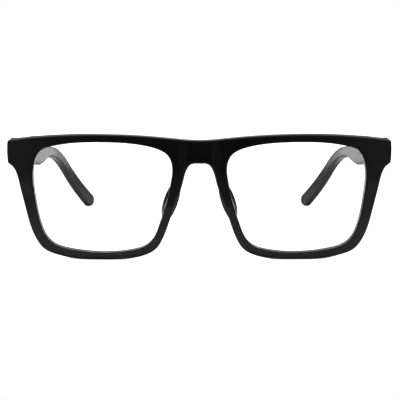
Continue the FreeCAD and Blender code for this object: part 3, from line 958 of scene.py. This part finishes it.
def new_group(name: str, inputs: Sequence[str], outputs: Sequence[str]) -> Nodes:
    """Start a shader node group.

    Args:
        name: the group's name.
        inputs: the names of the numbers it takes.
        outputs: the names of the numbers it gives.

    Returns:
        The group's nodes, with an input and an output node laid.
    """
    tree = bpy.data.node_groups.new(name, "ShaderNodeTree")
    for in_out, labels in (("INPUT", inputs), ("OUTPUT", outputs)):
        for label in labels:
            tree.interface.new_socket(name=label, in_out=in_out, socket_type="NodeSocketFloat")
    nodes = Nodes(tree)
    nodes.add("NodeGroupInput", name="in")
    nodes.add("NodeGroupOutput", name="out")
    return nodes


def handling_group() -> NodeTree:
    """Marks that handling leaves on a polished surface: fine scratches, smears and dust in the corners."""
    nodes = new_group("handling_marks", ("Scratches", "Smears", "Least Roughness"), ("Roughness", "Dust"))
    group_in, group_out = nodes.tree.nodes["in"], nodes.tree.nodes["out"]
    place = nodes.place()
    turned = nodes.add("ShaderNodeMapping")
    set_inputs(turned, {"Rotation": (0.3, 0.2, 0.7), "Scale": (1.0, 0.12, 1.0)})
    nodes.join(place, turned.inputs["Vector"])
    streaks = nodes.spread(nodes.noise(turned.outputs["Vector"], 2600.0, 2.0), 0.68, 0.78)
    patches = nodes.spread(nodes.noise(place, 90.0, 3.0), 0.5, 0.75)
    scratches = nodes.fold("MULTIPLY", streaks, patches, group_in.outputs["Scratches"])
    smears = nodes.fold("MULTIPLY", nodes.spread(nodes.noise(place, 55.0, 4.0), 0.45, 0.8, 0.0, 0.12),
                        group_in.outputs["Smears"])
    rough = nodes.fold("ADD", nodes.spread(scratches, 0.0, 1.0, 0.0, 0.25), smears,
                       group_in.outputs["Least Roughness"])
    nodes.join(rough, group_out.inputs["Roughness"])
    creases = nodes.add("ShaderNodeNewGeometry").outputs["Pointiness"]
    dust = nodes.fold("MULTIPLY", nodes.spread(creases, 0.47, 0.4),
                      nodes.spread(nodes.noise(place, 700.0, 2.0), 0.55, 0.8))
    nodes.join(dust, group_out.inputs["Dust"])
    return nodes.tree


@dataclass(frozen=True)
class Acetate:
    """Polished black acetate, with the faint cloud of its pigment and the marks of handling."""

    name: str = "polished_acetate"
    colour: Triple = (0.0035, 0.0035, 0.0038)
    cloud: Triple = (0.0065, 0.0062, 0.0062)
    dust: Triple = (0.02, 0.019, 0.018)
    roughness: float = 0.07

    def material(self, marks: NodeTree) -> Material:
        """Make the material from the shared marks."""
        material, nodes, shader = plain_material(self.name)
        group = nodes.marked(marks, 0.08, 0.3, self.roughness)
        cloudy = nodes.spread(nodes.noise(nodes.place(), 160.0, 3.0), 0.4, 0.7)
        base = mix_colours(nodes, cloudy, self.colour, self.cloud)
        dust = nodes.spread(group.outputs["Dust"], 0.0, 1.0, 0.0, 0.25)
        nodes.join(mix_colours(nodes, dust, base, self.dust), shader.inputs["Base Color"])
        nodes.join(group.outputs["Roughness"], shader.inputs["Roughness"])
        shader.inputs["IOR"].default_value = 1.48
        return material


@dataclass(frozen=True)
class Steel:
    """Drawn steel with a fine grain along one axis."""

    name: str
    colour: Triple = (0.56, 0.55, 0.53)
    dark: Triple = (0.42, 0.41, 0.4)
    roughness: float = 0.28
    grain: Triple = (1.0, 1.0, 0.05)

    def material(self, marks: NodeTree) -> Material:
        """Make the material from the shared marks."""
        material, nodes, shader = plain_material(self.name)
        along = nodes.add("ShaderNodeMapping")
        set_inputs(along, {"Scale": self.grain})
        nodes.join(nodes.place(), along.inputs["Vector"])
        grain = nodes.noise(along.outputs["Vector"], 9000.0, 2.0)
        group = nodes.marked(marks, 0.8, 0.6, self.roughness)
        nodes.join(mix_colours(nodes, nodes.spread(grain, 0.35, 0.65), self.dark, self.colour),
                   shader.inputs["Base Color"])
        nodes.join(nodes.fold("ADD", group.outputs["Roughness"], nodes.spread(grain, 0.3, 0.7, 0.0, 0.1)),
                   shader.inputs["Roughness"])
        bump = nodes.add("ShaderNodeBump")
        set_inputs(bump, {"Strength": 0.15, "Distance": 0.00001})
        nodes.join(grain, bump.inputs["Height"])
        nodes.join(bump.outputs["Normal"], shader.inputs["Normal"])
        shader.inputs["Metallic"].default_value = 1.0
        return material


@dataclass(frozen=True)
class ClearLens:
    """A clear coated lens that hardly mirrors, with a trace of dust."""

    name: str = "clear_lens"
    ior: float = 1.14

    def material(self, marks: NodeTree) -> Material:
        """Make the material from the shared marks."""
        material, nodes, shader = plain_material(self.name)
        group = nodes.add("ShaderNodeGroup", node_tree=marks)
        tint = mix_colours(nodes, nodes.spread(group.outputs["Dust"], 0.0, 1.0), (1.0,) * 3, (0.97,) * 3)
        nodes.join(tint, shader.inputs["Base Color"])
        set_inputs(shader, {"Roughness": 0.0, "Transmission Weight": 1.0, "IOR": self.ior})
        return material


def plain_material(name: str) -> tuple[Material, Nodes, Node]:
    """Start a material that holds one Principled shader.

    Args:
        name: the material's name.

    Returns:
        The material, its nodes and the shader.
    """
    material = bpy.data.materials.new(name)
    material.use_nodes = True
    nodes = Nodes(material.node_tree)
    return material, nodes, material.node_tree.nodes["Principled BSDF"]


def mix_colours(nodes: Nodes, share: NodeSocket, low: Sequence[float] | NodeSocket,
                high: Sequence[float]) -> NodeSocket:
    """A colour between two by a share, where the lower one is a plain colour or comes from a socket."""
    node = nodes.add("ShaderNodeMix", data_type="RGBA")
    nodes.join(share, node.inputs[0])
    if isinstance(low, NodeSocket):
        nodes.join(low, node.inputs[6])
    else:
        node.inputs[6].default_value = (*low, 1)
    node.inputs[7].default_value = (*high, 1)
    return node.outputs[2]


# Stage

def seen_straight(nodes: Nodes) -> NodeSocket:
    """1 for what the camera sees, itself or through a lens, and 0 for what other light meets."""
    rays = nodes.add("ShaderNodeLightPath")
    return nodes.fold("MAXIMUM", rays.outputs["Is Camera Ray"], rays.outputs["Is Transmission Ray"])


@dataclass
class Stage:
    """The pale floor, the soft light, the white surroundings and the camera."""

    distance: float = 450.0
    focal_pixels: float = 1218.8
    image_width: float = 400.0
    pitch: float = math.radians(7.75)
    turn: float = 0.0072
    aim: Triple = (0.12, -0.9, 23.03)
    table_near: float = -0.19
    table_bow: float = 2.8
    table_square: float = 0.32
    table_far: float = 6.0
    table_half: float = 3.0
    # The table's grey along its depth, from front to back, with darker bands of painted shade near and behind
    # the object.
    table_tones_with_painted_shade: tuple[tuple[float, float], ...] = ((0.14, 0.42), (0.22, 0.62), (0.62, 0.52), (0.72, 0.26),
                                                   (0.87, 0.3), (0.98, 0.8))
    room: float = 0.06
    room_sides: float = 0.21
    panels: float = 0.24
    low_front: float = 0.17
    ceiling: float = 0.6
    glow: float = 0.92
    lamp_at: Triple = (0.0, 0.25, 0.9)
    lamp_aim: Triple = (0, -0.05, 0.02)
    lamp_size: tuple[float, float] = (1.6, 1.0)
    lamp_power: float = 9.0

    def floor(self) -> None:
        """A wide pale table that shows white and keeps a soft shadow. Its grey, which glossy surfaces mirror,
        holds painted shade: darker bands along its depth and a darker grey to each side of the object.
        """
        bm = bmesh.new()
        bmesh.ops.create_grid(bm, x_segments=160, y_segments=8, size=1.0)
        for v in bm.verts:
            v.co.x *= self.table_half
            near = self.table_near - self.table_bow * min(abs(v.co.x), self.table_square) ** 2
            v.co.y = near + (self.table_far - near) * (v.co.y + 1) / 2
        mesh = bpy.data.meshes.new("table")
        bm.to_mesh(mesh)
        bm.free()
        table = in_scene("table", mesh)
        material, nodes, shader = plain_material("pale_table")
        x, y, _ = nodes.axes(nodes.place())
        across = nodes.fold("MULTIPLY", x, x)
        # Painted shade: the table's grey drops to a quarter to each side of the object.
        painted_shade_beside = nodes.fold("MULTIPLY", nodes.spread(y, -0.25, -0.1), nodes.spread(across, 0.008, 0.03))
        # Painted shade: darker bands in the table's grey along its depth, which glossy surfaces mirror.
        along = nodes.ramp(nodes.spread(y, -0.2, 0.3), self.table_tones_with_painted_shade)
        grey_with_painted_shade = nodes.fold("MULTIPLY", along, nodes.spread(painted_shade_beside, 0.0, 1.0, 1.0, 0.25))
        shade = nodes.add("ShaderNodeCombineColor")
        for socket in shade.inputs:
            nodes.join(grey_with_painted_shade, socket)
        nodes.join(shade.outputs[0], shader.inputs["Base Color"])
        set_inputs(shader, {"Roughness": 1.0, "Specular IOR Level": 0.0, "Emission Color": WHITE})
        nodes.join(nodes.spread(seen_straight(nodes), 0.0, 1.0, 0.0, self.glow),
                   shader.inputs["Emission Strength"])
        mesh.materials.append(material)

    def surroundings(self) -> None:
        """White behind the object, and in front of it a dark room that grows paler to the sides.

        The ranges are those of a direction's X squared, Y or Z.
        """
        world = bpy.data.worlds.new("studio")
        bpy.context.scene.world = world
        world.use_nodes = True
        nodes = Nodes(world.node_tree)
        background = world.node_tree.nodes["Background"]
        set_inputs(background, {"Color": WHITE})
        x, y, z = nodes.axes(nodes.add("ShaderNodeTexCoord").outputs["Generated"])
        across = nodes.fold("MULTIPLY", x, x)
        behind = nodes.fold("MULTIPLY", nodes.spread(y, 0.5, 0.9),
                            nodes.spread(across, 0.009, 0.004, 0.0, 0.85))
        sides = nodes.fold("MULTIPLY", nodes.spread(across, 0.02, 0.35, self.room, self.room_sides),
                           nodes.spread(y, -0.55, -0.2, 1.0, 0.25))
        panel = nodes.fold("MULTIPLY", nodes.spread(across, 0.035, 0.055, 0.0, self.panels),
                           nodes.spread(across, 0.078, 0.055), nodes.spread(z, 0.13, 0.09))
        above = nodes.spread(z, 0.25, 0.7, 0.0, self.ceiling)
        below = nodes.spread(z, 0.0, -0.05, 0.0, self.low_front)
        level = nodes.fold("MAXIMUM", behind, sides, panel, above, below, seen_straight(nodes))
        nodes.join(level, background.inputs["Strength"])

    def lamp(self) -> None:
        """A wide soft lamp above."""
        data = bpy.data.lights.new("top_bank", "AREA")
        data.shape = "RECTANGLE"
        data.size, data.size_y = self.lamp_size
        data.energy = self.lamp_power
        lamp = in_scene("top_bank", data)
        lamp.location = self.lamp_at
        aim = Vector(self.lamp_aim) - Vector(self.lamp_at)
        lamp.rotation_euler = aim.to_track_quat("-Z", "Y").to_euler()

    def camera(self) -> None:
        """The camera, a long lens level with the temples."""
        data = bpy.data.cameras.new("camera")
        data.sensor_width = 36.0
        data.lens = self.focal_pixels * data.sensor_width / self.image_width
        data.clip_start = 0.01
        camera = in_scene("camera", data)
        level = math.cos(self.pitch)
        along = Vector((math.sin(self.turn) * level, math.cos(self.turn) * level, -math.sin(self.pitch)))
        camera.location = SEAT.place(*self.aim) - along * self.distance * MM
        camera.rotation_euler = along.to_track_quat("-Z", "Y").to_euler()
        bpy.context.scene.camera = camera

    def build(self) -> None:
        """Lay the whole stage."""
        bpy.context.scene.view_settings.view_transform = "Standard"
        self.floor()
        self.surroundings()
        self.lamp()
        self.camera()


@dataclass(frozen=True)
class SteelPiece:
    """A piece of the hinge or of the core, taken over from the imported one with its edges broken."""

    node: str
    body: Body
    slot: Slot
    edge: float = 0.06
    proud: float = 0.02

    def build(self, plain: Object, finish: Material) -> None:
        """Merge a copy of the plain piece, soften its edges and let it stand for the plain one.

        Args:
            plain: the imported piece, which stays as it is.
            finish: the piece's material.
        """
        bm = bmesh.new()
        bm.from_mesh(plain.data)
        bmesh.ops.transform(bm, matrix=plain.matrix_world, verts=bm.verts[:])
        bmesh.ops.remove_doubles(bm, verts=bm.verts[:], dist=WELD)
        bmesh.ops.recalc_face_normals(bm, faces=bm.faces[:])
        bmesh.ops.dissolve_limit(bm, angle_limit=math.radians(1), verts=bm.verts[:], edges=bm.edges[:])
        soften(bm, sharp_edges(bm, 50), self.edge * MM, 2)
        bm.normal_update()
        for v in bm.verts:
            v.co += v.normal * self.proud * MM
        piece = new_piece(self.node + "_finished", bm, finish, self.body, self.slot, crease=50)
        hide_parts(self.node)


def main() -> None:
    """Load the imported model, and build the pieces."""
    logging.basicConfig(level=logging.INFO, format="%(message)s")
    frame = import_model()
    marks = handling_group()
    acetate = Acetate().material(marks)
    clear = ClearLens().material(marks)
    ground = Acetate("ground_lens_edge", (0.02,) * 3, (0.03,) * 3, roughness=0.5).material(marks)
    hinge = Steel("hinge_steel").material(marks)
    screw = Steel("screw_steel", roughness=0.2, grain=(1.0, 0.05, 1.0)).material(marks)
    core = Steel("core_steel").material(marks)
    Stage().build()
    Front().build(acetate)
    Temples().build(acetate)
    Lenses().build(clear, ground)
    NosePads().build(acetate)
    for side, temple in (("left", Body.LEFT), ("right", Body.RIGHT)):
        for node, body, slot, finish in (("front_hinge_", Body.FRONT, Slot.HINGE, hinge),
                                         ("temple_hinge_", temple, Slot.HINGE, hinge),
                                         ("hinge_screw_", Body.FRONT, Slot.SCREW, screw),
                                         ("temple_core_", temple, Slot.CORE, core)):
            SteelPiece(node + side, body, slot).build(frame["nodes"][node + side], finish)


if __name__ == "__main__":
    main()
